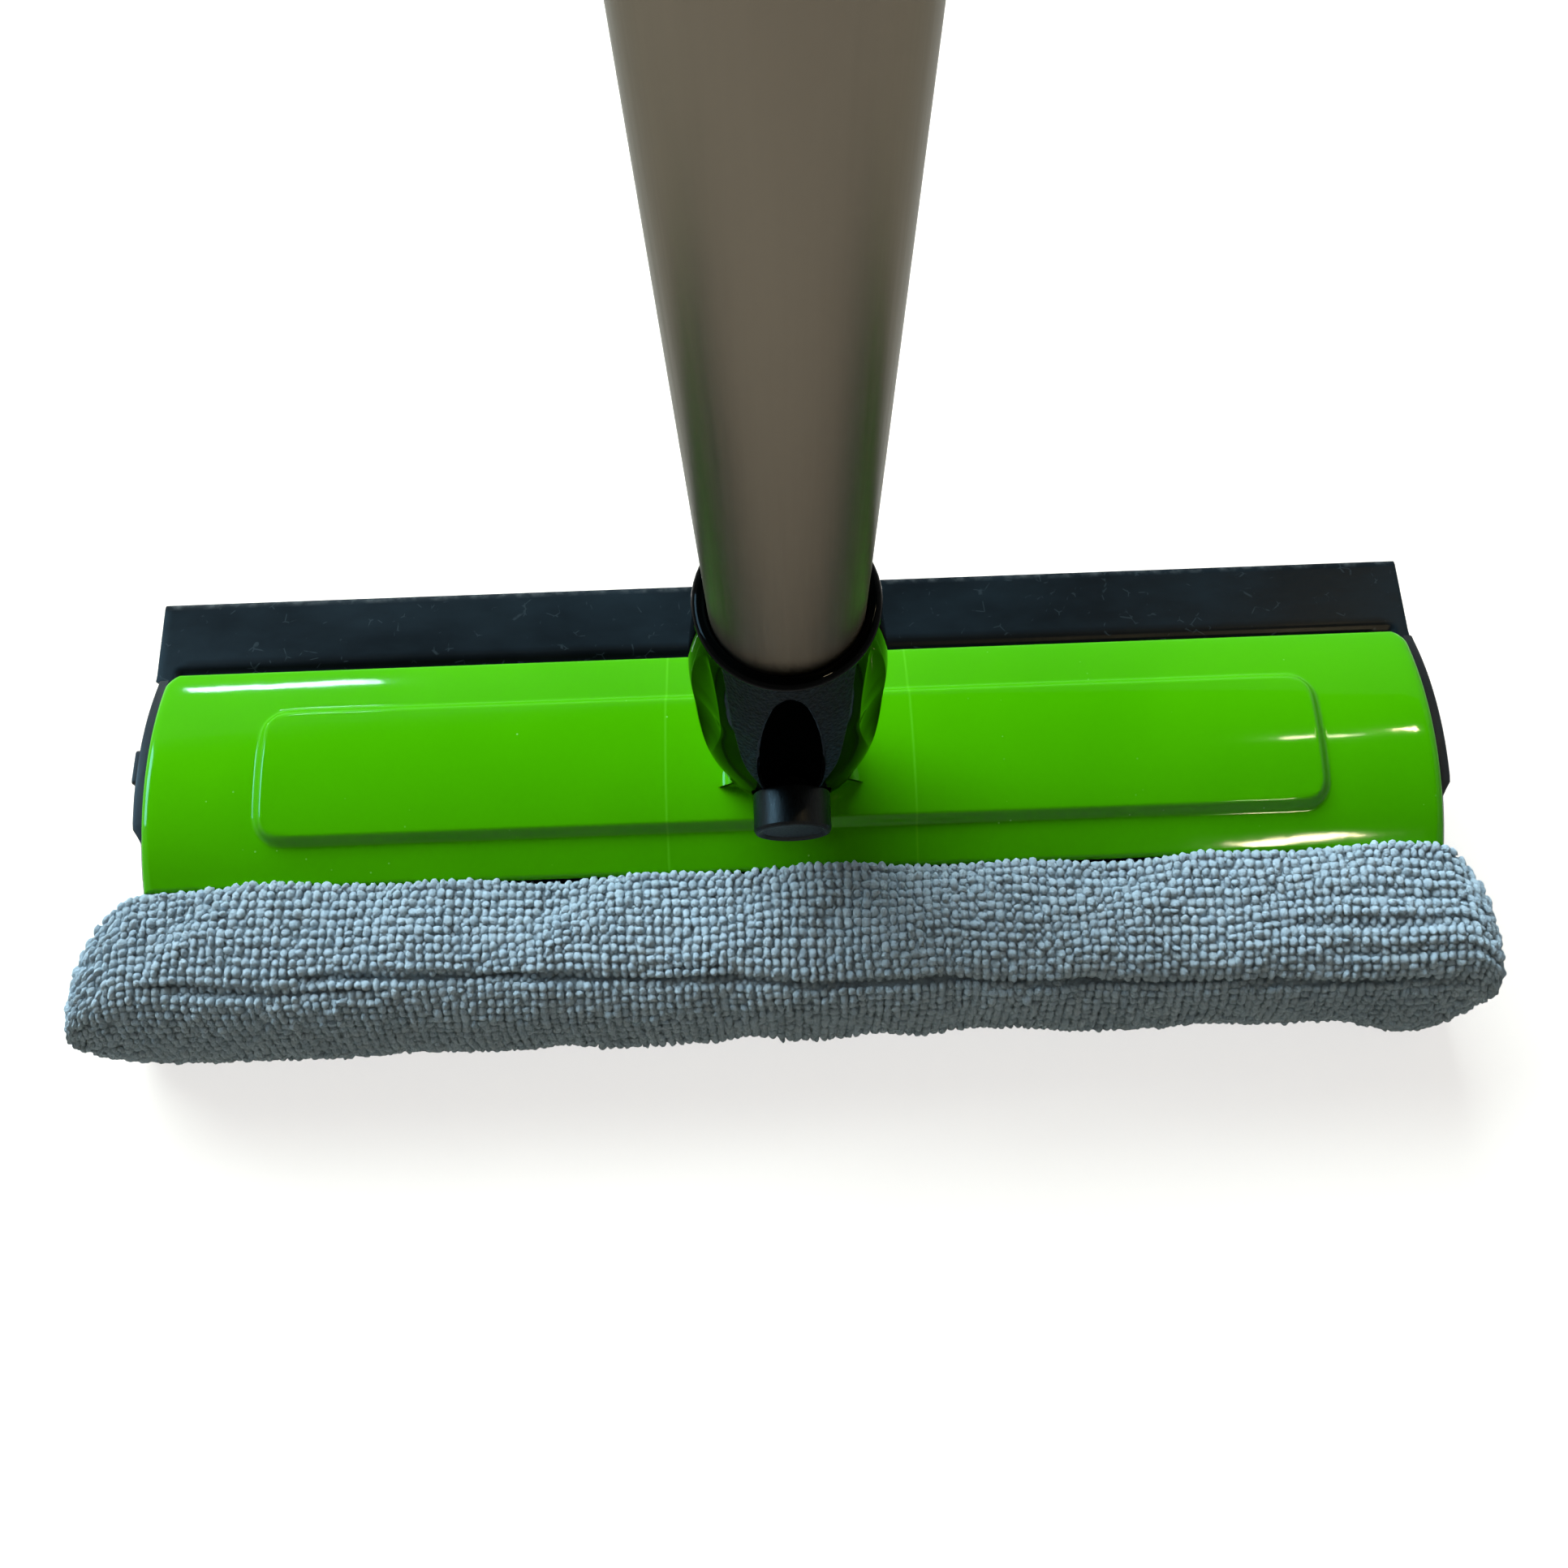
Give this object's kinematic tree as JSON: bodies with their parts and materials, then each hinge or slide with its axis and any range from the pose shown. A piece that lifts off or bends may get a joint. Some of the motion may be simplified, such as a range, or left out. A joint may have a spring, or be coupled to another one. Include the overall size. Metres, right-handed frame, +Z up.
{
  "type": "window squeegee",
  "caption": "Window squeegee: arched head with a rubber blade behind and a microfibre scrubbing sleeve in front, on a push-button swivel socket and a telescopic twist-lock pole",
  "frame": {"origin": "on the plane of the scrubbing sleeve's underside, under the middle of the tool's outline seen from above", "axes": "+Z up along the pole, +X along the blade, +Y from the scrubbing sleeve towards the rubber blade"},
  "size_m": [0.285, 0.094, 0.6942],
  "materials": {
    "lime_cover": "glossy injection moulding",
    "black_frame": "smooth satin moulding",
    "blade_rubber": "smooth matte rubber",
    "fastener_steel": "zinc plated",
    "foam_core": "open foam",
    "loop_fabric": "microfibre loops",
    "socket_black": "glossy flanks and a fine leather grain in front",
    "button_black": "fine lines along the barrel",
    "satin_tube": "satin, warm silver",
    "grip_foam": "foam rubber"
  },
  "bodies": {
    "head": {"cover_shell": "lime_cover", "head_frame": "black_frame", "squeegee_blade": "blade_rubber", "end_cap_left": "black_frame", "end_cap_right": "black_frame", "cover_screw_1": "fastener_steel", "cover_screw_2": "fastener_steel", "cover_screw_3": "fastener_steel", "cover_screw_4": "fastener_steel", "pad_foam": "foam_core", "pad_sleeve": "loop_fabric"},
    "socket": {"pole_socket": "socket_black", "pivot_cap": "black_frame", "tube_screw": "fastener_steel", "inner_tube": "satin_tube", "inner_bush": "black_frame", "cone_spring": "fastener_steel"},
    "button": {"pivot_button": "button_black", "brake_cone": "fastener_steel", "cone_screw": "fastener_steel"},
    "upper_pole": {"outer_tube": "satin_tube", "lock_body": "black_frame", "collet": "black_frame", "grip": "grip_foam", "hang_cap": "black_frame"},
    "lock": {"lock_sleeve": "black_frame"}
  },
  "joints": [
    {"name": "head_swivel", "type": "hinge", "parent": "head", "child": "socket", "pos_m": [0, 0.005, 0.0535], "axis": [0, 1, 0], "range_deg": [-80, 80]},
    {"name": "button_press", "type": "slide", "parent": "socket", "child": "button", "axis": [0, 1, 0], "range_m": [0, 0.0035], "stiffness_N_per_m": 800, "springref_m": -0.002, "deforming": ["cone_spring"]},
    {"name": "pole_extend", "type": "slide", "parent": "socket", "child": "upper_pole", "axis": [0, 0, 1], "range_m": [0, 0.28]},
    {"name": "lock_twist", "type": "hinge", "parent": "upper_pole", "child": "lock", "pos_m": [0, 0.005, 0.238], "axis": [0, 0, 1], "range_deg": [0, 90]}
  ]
}
